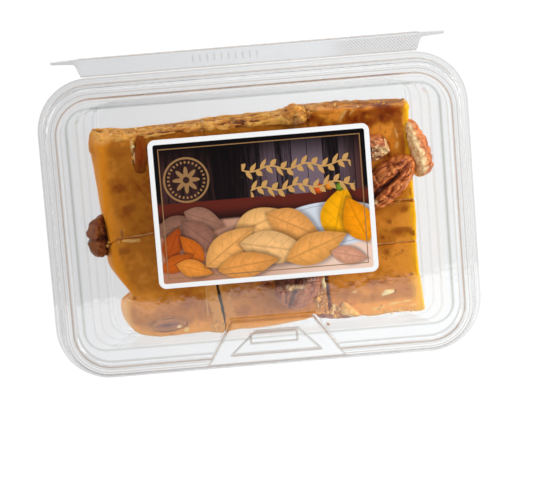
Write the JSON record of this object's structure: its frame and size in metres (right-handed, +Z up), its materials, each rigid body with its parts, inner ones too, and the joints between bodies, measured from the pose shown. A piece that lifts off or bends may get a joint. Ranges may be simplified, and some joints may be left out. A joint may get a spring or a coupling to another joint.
{
  "type": "pecan fudge in a clear pack",
  "caption": "Slab of pecan fudge broken along cracks into blocks, with pecan halves set in it, in a shut clear tray with a raised-rim lid, a sealed hinge strip and a printed label on the lid.",
  "frame": {"origin": "middle of the whole part's footprint, flange and hinge strip included, at the level the tray stands on", "axes": "+X along the pack's width, to the right as the label is read, +Y towards the hinge strip, +Z up through the lid"},
  "size_m": [0.176, 0.1332, 0.0415],
  "materials": {
    "clear_tray": "clear, glossy",
    "clear_lid": "clear, glossy",
    "clear_strip": "clear, glossy",
    "label_print": "satin print",
    "fudge": "satin, waxy",
    "pecan": "satin"
  },
  "bodies": {
    "root": {"tray": "clear_tray", "lid": "clear_lid", "tear_strip": "clear_strip", "label": "label_print", "fudge_left_hinge": "fudge", "fudge_left_lock": "fudge", "fudge_middle_hinge": "fudge", "fudge_middle_lock": "fudge", "fudge_right_hinge": "fudge", "fudge_right_centre": "fudge", "fudge_right_lock": "fudge", "pecan_face_right": "pecan", "pecan_face_piece": "pecan", "pecan_face_lock": "pecan", "pecan_side_right": "pecan", "pecan_side_left": "pecan", "pecan_lock_side": "pecan", "pecan_sliver_lock": "pecan", "pecan_sliver_hinge": "pecan"}
  },
  "joints": []
}
